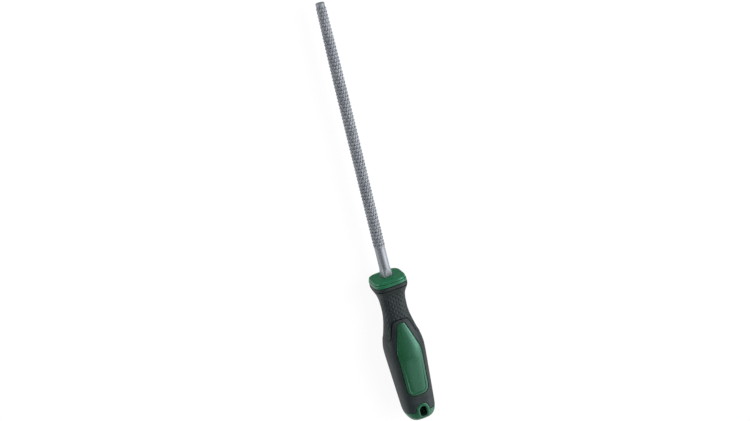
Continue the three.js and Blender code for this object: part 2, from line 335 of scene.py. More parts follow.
def half_sizes(place, inset=0):
    """Half the width and half the thickness at a place."""
    across = (full_size(place, widths) / 2) * butt_share(place, widths) - inset
    up = (full_size(place, depths) / 2) * butt_share(place, depths) - inset
    return across, up


def squareness(place):
    """The power of a section: 2 is an oval, and 4 is nearly square."""
    to_neck = (neck_square - collar_square) * eased(place, flange_end, neck_place)
    to_belly = (belly_square - neck_square) * eased(place, neck_place, belly_place)
    return collar_square + to_neck + to_belly


# %% Points of the skin
def oval_point(place, angle, across, up, square):
    """A point of a superellipse round the tool axis, at an angle round it."""
    cos, sin = math.cos(angle), math.sin(angle)
    reach = ((abs(cos) / across) ** square + (abs(sin) / up) ** square) ** (-1 / square)
    return Vector((-place, reach * cos, reach * sin))


def skin_point(place, angle, inset=0):
    """A point of the handle's skin, at an angle round the axis."""
    return oval_point(place, angle, *half_sizes(place, inset), squareness(place))


def skin_height(place, side, inset=0):
    """Height of the handle's skin over the axis, at a place and a distance to the side."""
    across, up = half_sizes(place, inset)
    square = squareness(place)
    return up * max(0, 1 - (abs(side) / across) ** square) ** (1 / square)


for place in (0, neck_place, crown_place, butt_place):
    print(f"place {place:5.1f}: {2 * half_sizes(place)[0]:.1f} wide, {2 * half_sizes(place)[1]:.1f} thick")

# %% [markdown]
# ## Collar
#
# The collar is the front end of the hard core. It stops the hand from sliding onto the steel. Its face is
# flat, with a square socket that is turned as the foot is, and rounds over to a fine crease. Behind the
# crease stands a rim. Such a part is turned or lofted in CAD; here it is one rolled sheet whose rows start
# at the bottom of the socket, come out over the face and run back round the rim.

# %% Collar rows
collar_across, collar_up = widths["collar"] / 2, depths["collar"] / 2
socket_half = foot_side / 2 + 0.3
socket_depth, socket_bevel = 4.6, 0.12
dome_depth = 2.0
dome_round = 4.0
dome_steps = 10
step_in = 0.35
crease = 0.5
face_inset = step_in + dome_round
collar_rows = [("socket", socket_depth, 0), ("socket", 0.3, 0), ("socket", 0.08, 0.03)]
collar_rows += [("socket", 0, socket_bevel)]
collar_rows += [("between", 0, share) for share in (0.15, 0.4, 0.7, 0.9)]
for step in range(dome_steps + 1):
    share = step / dome_steps
    lean = step_in + dome_round * (1 - math.sqrt(1 - (1 - share) ** 2))
    collar_rows.append(("rim", dome_depth * (1 - math.cos(share * math.pi / 2)), lean))
collar_rows += [
    ("rim", dome_depth + 0.06, step_in + 0.3),
    ("rim", dome_depth + 0.2, step_in + crease),
    ("rim", dome_depth + 0.4, step_in + crease),
    ("rim", dome_depth + 0.52, step_in),
    ("rim", dome_depth + 0.64, 0.16),
    ("rim", dome_depth + 0.88, 0.03),
    ("rim", dome_depth + 1.25, 0),
    ("rim", collar_depth - 0.55, 0),
    ("rim", collar_depth - 0.22, 0.07),
    ("rim", collar_depth, 0.34),
    ("rim", collar_depth, 3),
]
print(len(collar_rows), "rows in the collar")

# %% Collar skin
round_columns = 144


def seat_on_collar(row, column):
    """Where a corner goes: in the square socket, on the face between, or on the round rim."""
    kind, place, value = collar_rows[row]
    angle = 2 * math.pi * column / round_columns
    if kind == "rim":
        return oval_point(place, angle, collar_across - value, collar_up - value, collar_square)
    reach = socket_half + (value if kind == "socket" else socket_bevel)
    inner = oval_point(place, angle - foot_turn, reach, reach, foot_square)
    inner = Matrix.Rotation(foot_turn, 3, "X") @ inner
    if kind == "socket":
        return inner
    face_across, face_up = collar_across - face_inset, collar_up - face_inset
    outer = oval_point(place, angle, face_across, face_up, collar_square)
    return inner.lerp(outer, value)


collar = rolled_sheet(len(collar_rows), round_columns, seat_on_collar, closed_ends=True)
core_collar = keep_piece("core_collar", collar, "handle_core")

# %% [markdown]
# ## Spine
#
# Under the sleeve the core runs on as a plain spine, up to the hang slot. It only shows as the dark bottom
# of the gaps, but without it light would fall through them.

# %% Spine of the core
spine_inset = 2.4
spine_step = 2.2
spine_columns = 48
spine_places = [collar_depth - 1 + step * spine_step for step in range(43)]


def seat_on_spine(row, column):
    return skin_point(spine_places[row], 2 * math.pi * column / spine_columns, spine_inset)


spine = rolled_sheet(len(spine_places), spine_columns, seat_on_spine, closed_ends=True)
core_spine = keep_piece("core_spine", spine, "handle_core")

# %% [markdown]
# ## Outline of the windows
#
# Two outlines are used again and again: the long panel and the hang slot. Both are drawn from above, with
# a few corners that are then rounded. A corner could be beveled, but here the same outline is also needed
# a little larger, for the gap, the frame and the cutting punch. So each corner keeps its own centre, and
# the outline is walked round those centres.


# %% Rounded outlines
least_radius = 0.15


def rounded_outline(corners, grow=0.0, arc_steps=10):
    """Points (place, side) round an outline whose corners are (place, side, radius)."""
    points = []
    ring = [(Vector((place, side)), radius) for place, side, radius in corners]
    for index, (corner, radius) in enumerate(ring):
        before, after = ring[index - 1][0], ring[(index + 1) % len(ring)][0]
        into, out = (corner - before).normalized(), (after - corner).normalized()
        face, next_face = Vector((into.y, -into.x)), Vector((out.y, -out.x))
        turn = math.acos(into.dot(out))
        reach = max(least_radius, radius + grow)
        moved = corner + (face + next_face) * grow / (1 + face.dot(next_face))
        centre = moved - into * reach * math.tan(turn / 2) - face * reach
        for step in range(arc_steps + 1):
            share = step / arc_steps
            lean = face * math.sin((1 - share) * turn) + next_face * math.sin(share * turn)
            points.append(centre + lean * reach / math.sin(turn))
    return points


def both_sides(side):
    """Closes one side's corners with the same corners on the other side."""
    return side + [(place, -across, radius) for place, across, radius in reversed(side)]


# %% Panel and slot
panel_corners = both_sides([(35.3, -2.8, 1.7), (55.1, -9.25, 11.0), (90.7, -7.95, 5.6)])
slot_corners = both_sides([(100.4, -2.6, 2.6), (108.4, -2.6, 1.8)])
panel_outline = rounded_outline(panel_corners)
slot_outline = rounded_outline(slot_corners)
print(len(panel_outline), "points round a panel;", len(slot_outline), "round the slot")


# %% Distance to the panel's edge
def walked(points, step=0.12):
    """The same outline with points at least every step, so that distances to it can be measured."""
    dense = []
    for index, point in enumerate(points):
        span = point - points[index - 1]
        count = max(1, math.ceil(span.length / step))
        dense += [points[index - 1] + span * share / count for share in range(count)]
    return dense


panel_edge = walked(panel_outline)
edge_tree = KDTree(len(panel_edge))
for index, point in enumerate(panel_edge):
    edge_tree.insert((point.x, point.y, 0), index)
edge_tree.balance()
right_edge = sorted((point.x, point.y) for point in panel_edge if point.y > 0.01)
panel_top, panel_end = right_edge[0][0], right_edge[-1][0]


def panel_half_width(place):
    """Half the width of the panel at a place along the handle."""
    if not panel_top <= place <= panel_end:
        return 0
    for (start, near), (stop, far) in zip(right_edge, right_edge[1:]):
        if start <= place <= stop and stop > start:
            return near + (far - near) * (place - start) / (stop - start)
    return right_edge[-1][1]


def from_panel_edge(place, side):
    """Distance to the panel's outline, seen from above: positive inside it and negative outside."""
    distance = edge_tree.find((place, side, 0))[2]
    return distance if abs(side) < panel_half_width(place) else -distance


print(f"panel from {panel_top:.1f} to {panel_end:.1f} mm, {2 * panel_half_width(60):.1f} mm wide at 60")

# %% [markdown]
# ## Panels
#
# Each panel is a long tray that stands in a window of the sleeve. Its edge is rolled over, and towards the
# butt the plate sinks behind that roll, so that a bead and a fine groove are left round it. The panel
# follows the swell of the handle, so it can't be a flat plate that is bent. A grid is laid over its outline
# instead, each corner is lifted to the handle's skin, and its distance to the outline says where on the
# bead it lies. Rows and columns lie closest at the bead. The plate is crowned a little across its width.

# %% Panel grid
bead_width = 2.2
bead_top = -0.05
edge_level = -0.45
crown = 0.3
panel_row_step = 0.55
across_steps = 9
edge_steps = [0, 0.03, 0.1, 0.22, 0.4, 0.65, 0.95, 1.25, 1.55, 1.75, 1.9]
edge_steps += [2.02, 2.14, 2.28, 2.42, 2.55, 2.8]
edge_band = edge_steps[-1]
middle_span = panel_end - panel_top - 2 * edge_band
middle_rows = round(middle_span / panel_row_step)
panel_rows = [panel_top + step for step in edge_steps]
panel_rows += [
    panel_top + edge_band + middle_span * step / middle_rows for step in range(1, middle_rows)
]
panel_rows += [panel_end - step for step in reversed(edge_steps)]
print(len(panel_rows), "rows in a panel")

# %% Bead of the panel
groove_faint, groove_start, groove_full = 0.08, 58, 86
groove_sink, groove_cut, groove_half = 0.22, 0.16, 0.35


def bead_profile(place, distance):
    """Height over the handle's skin, at a distance inside the panel's outline."""
    across = min(1, distance / bead_width)
    roll = math.sqrt(max(0, 1 - (2 * across - 1) ** 2))
    if across < 0.5:
        return edge_level + (bead_top - edge_level) * roll
    sunk = groove_faint + (1 - groove_faint) * eased(place, groove_start, groove_full)
    groove = groove_cut * max(0, 1 - ((distance - bead_width) / groove_half) ** 2)
    return bead_top - sunk * (groove_sink * (1 - roll) + groove)


print("bead at the butt:", [round(bead_profile(groove_full, step / 2), 2) for step in range(7)])


# %% Columns of the panel
narrow_half, full_bead_half = 0.02, 4.4


def panel_sides(place):
    """Distances to the side of one row's points, closest together over the bead."""
    half = max(narrow_half, panel_half_width(place))
    shrink = min(1, half / full_bead_half)
    outer = [half - step * shrink for step in edge_steps]
    inner = [outer[-1] * (1 - step / across_steps) for step in range(1, across_steps + 1)]
    right = outer + inner
    return [-side for side in right[:-1]] + right[::-1]


# %% Panels
panel_height = 2.6
least_crown_half = 2


def make_panel(name, upward):
    """Lays a grid over the outline, lifts it to the skin, and closes it with a wall and a bottom."""
    bm = bmesh.new()
    rows, columns = len(panel_rows), len(panel_sides(panel_top))
    bmesh.ops.create_grid(bm, x_segments=rows - 1, y_segments=columns - 1, size=0.5)
    sides = [panel_sides(place) for place in panel_rows]
    for vert in bm.verts:
        row, column = round((vert.co.x + 0.5) * (rows - 1)), round((vert.co.y + 0.5) * (columns - 1))
        place, side = panel_rows[row], sides[row][column]
        edge = row in (0, rows - 1) or column in (0, columns - 1)
        lift = bead_profile(place, 0 if edge else edge_tree.find((place, side, 0))[2])
        lift += crown * (1 - (side / max(least_crown_half, sides[row][-1])) ** 2)
        vert.co = (-place, side, skin_height(place, side) + lift)
    rim = [edge for edge in bm.edges if edge.is_boundary]
    wall = bmesh.ops.extrude_edge_only(bm, edges=rim)["geom"]
    foot = [part for part in wall if isinstance(part, bmesh.types.BMVert)]
    bmesh.ops.translate(bm, verts=foot, vec=(0, 0, -panel_height))
    bmesh.ops.holes_fill(bm, edges=[edge for edge in bm.edges if edge.is_boundary], sides=0)
    bmesh.ops.scale(bm, verts=bm.verts, vec=(1, 1, upward))
    bmesh.ops.recalc_face_normals(bm, faces=bm.faces)
    return keep_piece(name, bm, "handle_core")


panel_front = make_panel("core_panel_front", 1)
panel_rear = make_panel("core_panel_rear", -1)

# %% [markdown]
# ## Punches
#
# The windows in the sleeve and the hole in the butt have crisp edges that don't follow the rows of a
# rolled sheet. A punch cuts them: an upright wall in the shape of the outline, drawn a little larger by
# the gap, and taken away with a Boolean modifier. The modifier is applied at once, so that the piece
# stays a plain mesh.


# %% Upright punches
punch_reach = 20


def punch(bm, corners, grow):
    """Adds an upright wall through the whole handle to a bmesh."""
    outline = rounded_outline(corners, grow)
    bottom = [bm.verts.new((-point.x, point.y, -punch_reach)) for point in outline]
    floor = bm.faces.new(bottom)
    raised = bmesh.ops.extrude_face_region(bm, geom=[floor])["geom"]
    top = [part for part in raised if isinstance(part, bmesh.types.BMVert)]
    bmesh.ops.translate(bm, verts=top, vec=(0, 0, 2 * punch_reach))


# %% Cutting
def cut_out(bm, cutters):
    """Takes punches away from a bmesh and returns the result."""
    solids = []
    tool = bmesh.new()
    for corners, grow in cutters:
        punch(tool, corners, grow)
    bmesh.ops.remove_doubles(tool, verts=tool.verts, dist=weld_gap)
    bmesh.ops.recalc_face_normals(tool, faces=tool.faces)
    for part in (bm, tool):
        mesh = bpy.data.meshes.new("blank")
        part.to_mesh(mesh)
        part.free()
        solids.append(bpy.data.objects.new("blank", mesh))
        bpy.context.scene.collection.objects.link(solids[-1])
    blank, die = solids
    cut = blank.modifiers.new("cut", "BOOLEAN")
    cut.operation = "DIFFERENCE"
    cut.solver = "EXACT"
    cut.object = die
    done = bmesh.new()
    done.from_object(blank, bpy.context.evaluated_depsgraph_get())
    for part in solids:
        bpy.data.objects.remove(part)
    bmesh.ops.remove_doubles(done, verts=done.verts, dist=weld_gap)
    print("cut leaves", len(done.faces), "faces")
    return done


# %% [markdown]
# ## Butt
#
# The butt is the back end of the hard core. Its sides round over sooner than its faces, which gives the
# end of the handle its blunt shape. The hang slot runs through it from front to back, and a soft raised
# rim runs round each mouth of the slot. The rim is lofted along the slot's outline: out from the skin,
# over the rim, down the inner wall, and out again on the other side.

# %% Butt cap
butt_steps = 32
butt_start = sleeve_end + 0.45
butt_hole = 2.34
butt_rows = [(sleeve_end, 4), (sleeve_end, 0.32), (sleeve_end + 0.07, 0.14), (sleeve_end + 0.22, 0.03)]
butt_rows += [(butt_start, 0)]
for step in range(1, butt_steps + 1):
    share = math.sin(step / butt_steps * math.pi / 2)
    butt_rows.append((butt_start + (handle_length - butt_start) * share, 0))


def seat_on_butt(row, column):
    place, inset = butt_rows[row]
    return skin_point(place, 2 * math.pi * column / round_columns, inset)


butt = rolled_sheet(len(butt_rows), round_columns, seat_on_butt, closed_ends=True)
butt = cut_out(butt, [(slot_corners, butt_hole)])
core_butt = keep_piece("core_butt", butt, "handle_core")

# %% [markdown]
# ## Rim of the slot
#
# The rim is a roll of plastic that keeps a cord or a hook off the sharp edge. Its profile is written as
# pairs: how far outside the slot a row lies, and how high over the skin. The rows run up over the front
# roll, through the slot and over the rear roll, and then close on the first.

# %% Slot rim
rim_width = 2.4
rim_profile = [(rim_width, -1.4), (rim_width, -0.1), (2.36, 0), (2.24, 0.1), (2.0, 0.19)]
rim_profile += [(1.7, 0.26), (1.35, 0.3), (0.95, 0.3), (0.65, 0.28), (0.42, 0.22)]
rim_profile += [(0.22, 0.12), (0.08, -0.02), (0.01, -0.18), (0, -0.5)]
slot_rings = [rounded_outline(slot_corners, grow) for grow, lift in rim_profile]
rim_rows = [(step, 1) for step in range(len(rim_profile))]
rim_rows += [(step, -1) for step in reversed(range(len(rim_profile)))] + [(0, 1)]
rim_columns = len(slot_rings[0])


def seat_on_rim(row, column):
    step, upward = rim_rows[row]
    point = slot_rings[step][column]
    height = skin_height(point.x, point.y) + rim_profile[step][1]
    return Vector((-point.x, point.y, upward * height))


rim = rolled_sheet(len(rim_rows), rim_columns, seat_on_rim)
core_slot_rim = keep_piece("core_slot_rim", rim, "handle_core")

# %% [markdown]
# ## Sleeve
#
# The sleeve is soft plastic, moulded over the core. A flange with a groove behind it backs the collar. Its
# neck carries a gripping field that lies a little lower than the rest, with small dimples in staggered
# rows. Two lobes of the field run on along the sides, and a smooth frame stays round each panel.
#
# The field's edge is measured as the panel's bead was, by distance. Outside the edge stands a thin lip.
# Inside it lies a sharp groove, and behind that the field. Lip and groove grow weaker towards the sides of
# the handle.

# %% Gripping field
field_start, field_end = flange_end, 46.0
frame_width = 3.5
frame_top = panel_top - 2.7
frame_round = 1.2
field_depth = 0.3
lobe_round = 1.6
edge_groove_depth, edge_groove_half = 0.75, 0.42
lip_height, lip_half = 0.09, 0.4


def into_field(place, side):
    """Distance inside the edge of the gripping field. It is negative outside."""
    beside = frame_round - from_panel_edge(place, side) - frame_width
    above = frame_round + frame_top - place
    from_frame = math.hypot(max(0, beside), max(0, above)) + min(0, max(beside, above)) - frame_round
    to_end = field_end - place
    if from_frame < lobe_round and to_end < lobe_round:
        return lobe_round - math.hypot(lobe_round - from_frame, lobe_round - to_end)
    return min(from_frame, to_end)


def field_inset(distance, side):
    """How deep the skin lies at a distance inside the field's edge: a lip, a groove, then the field."""
    fade = 1 - 0.5 * eased(abs(side), 10, 12.5)
    lip = lip_height * max(0, 1 - ((distance + lip_half) / lip_half) ** 2)
    in_groove = max(0, 1 - ((distance - edge_groove_half) / edge_groove_half) ** 2) ** 0.5
    level = field_depth * eased(distance, 0, 0.2 + 2.5 * eased(abs(side), 9, 12))
    return level + (edge_groove_depth * in_groove - lip) * fade


print("field inset at its edge:", [round(field_inset(step / 10, 0), 2) for step in range(0, 9, 2)])

# %% [markdown]
# ## Rows of the sleeve
#
# The sleeve is rolled from one sheet, as the bar was: its rows run down the outside, turn in at the back
# end and come forward again inside. They lie close together in the field, where the dimples need them, and
# wide apart on the smooth grip. Each row has a place and an inset below the handle's own form.

# %% Sleeve rows
gap = 0.3
sleeve_wall = 2.1
fine_end = field_end + 1
fine_start, fine_step = 8.95, 0.22
wide_step, end_band = 0.75, 0.5
inner_rows = 17
sleeve_columns = 320
sleeve_front, sleeve_stop = collar_depth + gap, sleeve_end - gap
sleeve_rows = [(sleeve_front, sleeve_wall), (sleeve_front, 0.5), (sleeve_front + 0.06, 0.3)]
sleeve_rows += [(sleeve_front + 0.2, 0.12), (sleeve_front + 0.45, 0)]
sleeve_rows += [(6.3, 0), (7.0, 0.01), (7.2, 0.06), (7.3, 0.2), (7.36, 0.9), (7.6, 1.1)]
sleeve_rows += [(7.8, 0.8), (7.98, 0.6), (8.04, 0), (8.3, 0), (8.6, 0)]
field_rows = round((fine_end - fine_start) / fine_step)
sleeve_rows += [(fine_start + fine_step * step, 0) for step in range(field_rows)]
smooth_start = sleeve_rows[-1][0]
smooth_rows = round((sleeve_stop - end_band - smooth_start) / wide_step)
smooth_step = (sleeve_stop - end_band - smooth_start) / smooth_rows
sleeve_rows += [(smooth_start + smooth_step * step, 0) for step in range(1, smooth_rows + 1)]
sleeve_rows += [(sleeve_stop - 0.24, 0.04), (sleeve_stop - 0.08, 0.14), (sleeve_stop, 0.34)]
outer_count = len(sleeve_rows)
back_to_front = sleeve_front - sleeve_stop
for step in range(inner_rows):
    sleeve_rows.append((sleeve_stop + back_to_front * step / (inner_rows - 1), sleeve_wall))
print(outer_count, "rows outside and", inner_rows, "inside")


# %% Lengths along the skin
def skin_lengths(place):
    """Length along the skin from the middle of the front or rear to each column, in one quarter."""
    quarter = sleeve_columns // 4
    angles = [math.pi / 2 * (1 - step / quarter) for step in range(quarter + 1)]
    points = [skin_point(place, angle) for angle in angles]
    lengths = [0]
    for before, after in zip(points, points[1:]):
        lengths.append(lengths[-1] + (after - before).length)
    return lengths, [point.y for point in points]


print(f"a quarter of the neck is {skin_lengths(neck_place)[0][-1]:.1f} mm round")

# %% [markdown]
# ## Places of the dimples
#
# The dimples sit on a lattice that is measured along the skin from the middle of the front, and none is
# cut in half by an edge. Each is a shallow cone, whose far side catches the light. They could be stamped
# one by one into a finished skin, but then each would need its own cut. Here their lattice is worked out
# first, as lines and counts, for one quarter of the neck. The other three quarters mirror it. The skin
# then only asks for the depth of the nearest one.

# %% Dimples
dimple_pitch = 1.95
dimple_radius = 0.85
dimple_depth = 0.42
first_dimple = 11.5
most_counts = 30
side_margin, edge_margin = 1.1, 1.3
dimples = set()
for line in range(int((field_end - first_dimple) / dimple_pitch) + 1):
    place = first_dimple + line * dimple_pitch
    lengths, sides = skin_lengths(place)
    for count in range(line % 2, most_counts, 2):
        length = count * dimple_pitch
        if length > lengths[-1] - side_margin:
            break
        column = next(index for index, reach in enumerate(lengths) if reach >= length)
        if into_field(place, sides[column]) > edge_margin:
            dimples.add((line, count))
print(len(dimples), "dimples in one quarter of the field")


def dimple_at(place, length):
    """Depth of the nearest dimple, at a place and a length along the skin."""
    line = round((place - first_dimple) / dimple_pitch)
    count = round(length / dimple_pitch)
    if (line, count) not in dimples:
        return 0
    offset = math.hypot(place - first_dimple - line * dimple_pitch, length - count * dimple_pitch)
    return dimple_depth * max(0, 1 - (offset / dimple_radius) ** 1.3)


# %% [markdown]
# ## Skin of the sleeve
#
# Now the rows, the field and the dimples meet in one rule, which says how far the skin lies below the
# handle's own form. Two small forms are added to it: a shallow hollow in front of the slot's rim, and a
# fine seam along both sides, as the two halves of a mould leave it.

# %% Sleeve skin
lip_reach = 0.8
hollow_depth, hollow_place, hollow_reach, hollow_half = 0.6, 95.6, 2.9, 8.5
seam_height = 0.05
row_lengths = {row: skin_lengths(sleeve_rows[row][0])[0] for row in range(outer_count)}


def sleeve_inset(row, place, inset, column, side):
    """How far the skin of the sleeve lies below the handle's own form."""
    quarter = sleeve_columns // 4
    from_middle = abs((column % (2 * quarter)) - quarter)
    length = row_lengths[row][from_middle]
    if field_start < place < fine_end:
        distance = into_field(place, side)
        if distance > -lip_reach:
            return inset + field_inset(distance, side) + dimple_at(place, length)
    hollow = hollow_depth * max(0, 1 - ((place - hollow_place) / hollow_reach) ** 2) ** 2
    hollow *= max(0, 1 - (side / hollow_half) ** 2)
    seam = seam_height if from_middle == quarter else 0
    return inset + hollow - seam


def seat_on_sleeve(row, column):
    """Where a corner of the sheet goes on the sleeve, outside or inside."""
    place, inset = sleeve_rows[row]
    angle = 2 * math.pi * column / sleeve_columns
    point = skin_point(place, angle, inset)
    if row >= outer_count:
        return point
    return skin_point(place, angle, sleeve_inset(row, place, inset, column, point.y))


sleeve = rolled_sheet(len(sleeve_rows), sleeve_columns, seat_on_sleeve)
sleeve = cut_out(sleeve, [(panel_corners, gap), (slot_corners, rim_width + gap)])
soft_sleeve = keep_piece("soft_sleeve", sleeve, "soft_grip")

# %% [markdown]
# ## Shader maths
#
# The finishes are built from nodes, so that they hold at any size and in any export. Node trees get hard to
# read when every link is a line of code. A small class wraps a socket instead, so that plus, minus and
# times write the Math nodes, and one method makes every other node.


# %% Sockets as values
class Signal:
    """The output of a shader node, which can be added, taken away and multiplied."""

    def __init__(self, sheet, output):
        self.sheet, self.output = sheet, output

    def combine(self, operation, first, second):
        return self.sheet.node("ShaderNodeMath", {"operation": operation}, [first, second])

    def __add__(self, other):
        return self.combine("ADD", self, other)

    def __sub__(self, other):
        return self.combine("SUBTRACT", self, other)

    def __rsub__(self, other):
        return self.combine("SUBTRACT", other, self)

    def __mul__(self, other):
        return self.combine("MULTIPLY", self, other)

    __radd__ = __add__
    __rmul__ = __mul__


# %% A tree of nodes
class Finish:
    """A node tree with one method that makes its nodes."""

    def __init__(self, owner):
        owner.use_nodes = True
        self.owner, self.tree = owner, owner.node_tree

    def node(self, kind, settings=None, values=(), output=0):
        """Makes a node, sets it up, and fills its sockets by number or by name."""
        made = self.tree.nodes.new(kind)
        for name, setting in (settings or {}).items():
            setattr(made, name, setting)
        pairs = values.items() if isinstance(values, dict) else enumerate(values)
        for name, value in pairs:
            self.plug(made.inputs[name], value)
        return Signal(self, made.outputs[output])

    def plug(self, socket, value):
        if isinstance(value, Signal):
            self.tree.links.new(value.output, socket)
        else:
            socket.default_value = value

    def span(self, value, low, high, first=0.0, last=1.0):
        """Maps a value from one range to another with soft ends."""
        settings = {"interpolation_type": "SMOOTHSTEP"}
        return self.node("ShaderNodeMapRange", settings, [value, low, high, first, last])

    def noise(self, place, scale, detail, rough=0.55):
        values = {"Vector": place, "Scale": scale, "Detail": detail, "Roughness": rough}
        return self.node("ShaderNodeTexNoise", None, values)

    def stretched(self, place, scale):
        """The same place with each direction scaled by itself, which draws a noise out into streaks."""
        return self.node("ShaderNodeMapping", None, {"Vector": place, "Scale": scale})

    def mixed(self, share, first, second):
        """One colour laid over another by a share from 0 to 1."""
        made = self.tree.nodes.new("ShaderNodeMix")
        made.data_type = "RGBA"
        for number, value in ((0, share), (6, first), (7, second)):
            self.plug(made.inputs[number], value)
        return Signal(self, made.outputs[2])

    def bump(self, height, distance, strength):
        values = {"Height": height, "Distance": distance, "Strength": strength}
        return self.node("ShaderNodeBump", None, values)

    def place(self):
        """Where a point lies in the object's own space, in metres."""
        return self.node("ShaderNodeTexCoord", None, (), "Object")

    def surface(self, **values):
        """Fills sockets of the finish's own Principled shader by name."""
        shader = self.tree.nodes["Principled BSDF"]
        for name, value in values.items():
            self.plug(shader.inputs[name.replace("_", " ")], value)


# %% Dressing a piece
def new_finish(name):
    return Finish(bpy.data.materials.new(name))


def dress(finish, *pieces):
    for piece in pieces:
        piece.data.materials.append(finish.owner)
    print(finish.owner.name, "on", ", ".join(piece.name for piece in pieces))


# %% [markdown]
# ## Satin steel
#
# Tool steel that has been hardened and blasted is a cold grey with a satin sheen. The crests of the teeth
# are brighter, for wear and as a painted highlight, and the pits are darker, as painted shade with some
# dust and oil. The height of the teeth was worked out when the bar was made, but a material can find it
# again by itself: it is the distance from the tool axis, less the radius of the blank.

# %% Height of the steel
steel = new_finish("satin_steel")
steel_place = steel.place()
from_collar = steel.node("ShaderNodeSeparateXYZ", None, [steel_place], 0) - collar_x
steel_side = steel.node("ShaderNodeSeparateXYZ", None, [steel_place], 1)
steel_up = steel.node("ShaderNodeSeparateXYZ", None, [steel_place], 2) - axis_z
square_reach = steel_side * steel_side + steel_up * steel_up
reach = steel.node("ShaderNodeMath", {"operation": "SQRT"}, [square_reach])
taper = steel.span(from_collar, (steel_reach - tip_taper_length) * mm, (steel_reach + 6) * mm)
blank = blank_diameter / 2 * mm - taper * ((blank_diameter - tip_diameter) / 2 * mm)
toothed = steel.span(from_collar, (shank_length + 0.6) * mm, (shank_length + 1.6) * mm)
# pit darkens the pits as painted shade with some dust and oil; crest lightens the crests for wear and as a
# painted highlight.
pit = steel.span(reach - blank, 0.02 * mm, -0.3 * mm) * toothed
crest = steel.span(reach - blank, 0.26 * mm, 0.44 * mm) * toothed
print("bands of the steel: grime at the foot, plain shank, teeth from", shank_length, "mm")

# %% Steel finish
dark_steel, light_steel = (0.385, 0.403, 0.44, 1), (0.485, 0.503, 0.535, 1)
drawn_steel, socket_dark_grey = (0.36, 0.39, 0.44, 1), (0.08, 0.085, 0.09, 1)
pit_shade_grey, worn_highlit_crest = (0.16, 0.175, 0.2, 1), (0.60, 0.63, 0.67, 1)
patches = steel.noise(steel_place, 60, 4)
grain = steel.noise(steel_place, 2600, 2)
drawn = steel.noise(steel.stretched(steel_place, (60, 900, 900)), 1, 3)
# The steel is darker towards the socket, from 2.8 mm in front of the collar.
darkening = steel.span(from_collar, 2.8 * mm, -0.8 * mm)
tone = steel.mixed(steel.span(patches, 0.35, 0.7), dark_steel, light_steel)
tone = steel.mixed(drawn * 0.25, tone, drawn_steel)
tone = steel.mixed(darkening * 0.2, tone, socket_dark_grey)
# Painted shade in the pits, and wear with a painted highlight on the crests.
tone = steel.mixed(pit * 0.75, tone, pit_shade_grey)
tone = steel.mixed(crest * 0.4, tone, worn_highlit_crest)
steel.surface(
    Base_Color=tone,
    Metallic=1.0,
    Roughness=0.5 + patches * 0.1 + toothed * 0.06 + pit * 0.15 - crest * 0.06,
    Normal=steel.bump(grain + drawn, 0.00002, 0.35),
)
dress(steel, blade)

# %% [markdown]
# ## Green core
#
# The core is moulded in a hard satin plastic. Its finish comes from the mould: a very fine spark-eroded
# grain, which softens the highlights. Handling leaves faint scuffs that run along the handle. The face of
# the collar is grained more coarsely and mirrors less, so a Mix Shader lays a dull copy over the satin one
# there. Collar and butt are given a lighter green than the panels as painted light, and the inside of the
# hang slot is darkened as painted shade. All of this is told from the place on the piece, so one finish
# serves the whole core.

# %% Grain of the green
dark_green, light_green = (0.015, 0.092, 0.038, 1), (0.022, 0.115, 0.051, 1)
scuffed_green = (0.10, 0.24, 0.16, 1)
green = new_finish("moulded_green")
green_place = green.place()
cloud = green.noise(green_place, 45, 3)
spark = green.noise(green_place, 3200, 2)
scuffs = green.span(green.noise(green.stretched(green_place, (70, 1500, 1500)), 1, 4), 0.6, 0.72)
shade = green.mixed(cloud, dark_green, light_green)
shade = green.mixed(scuffs * 0.16, shade, scuffed_green)
print("moulded green: clouds, grain and scuffs")

# %% Zones of the green
# The collar and butt greens are lighter copies of the core's green, as painted light; the slot colour is
# painted shade.
collar_lit_green, butt_lit_green = (0.021, 0.185, 0.080, 1), (0.014, 0.125, 0.050, 1)
slot_shade_green = (0.004, 0.018, 0.009, 1)
from_face = green.node("ShaderNodeSeparateXYZ", None, [green_place], 0) - collar_x
coarse = green.span(from_face, -1.2 * mm, -0.2 * mm)
green_side = green.node("ShaderNodeSeparateXYZ", None, [green_place], 1)
green_up = green.node("ShaderNodeSeparateXYZ", None, [green_place], 2) - axis_z
near_slot = green.span(green_side * green_side, (4.2 * mm) ** 2, (2.7 * mm) ** 2)
near_slot = near_slot * green.span(from_face, -97.5 * mm, -98.5 * mm)
near_slot = near_slot * green.span(from_face, -110.5 * mm, -109 * mm)
inside_slot = green.span(green_up * green_up, (10.6 * mm) ** 2, (8.6 * mm) ** 2)
# Painted shade deep inside the hang slot.
slot_painted_shade = near_slot * inside_slot
collar_lit_zone = green.span(from_face, -6.2 * mm, -4.8 * mm)
butt_lit_zone = green.span(from_face, -94 * mm, -99 * mm)
# Painted light on the collar and butt, and painted shade in the slot.
shade = green.mixed(collar_lit_zone * 0.8, shade, collar_lit_green)
shade = green.mixed(butt_lit_zone * 0.6, shade, butt_lit_green)
shade = green.mixed(slot_painted_shade * 0.9, shade, slot_shade_green)
print("zones of the green: collar face, collar, butt and slot")

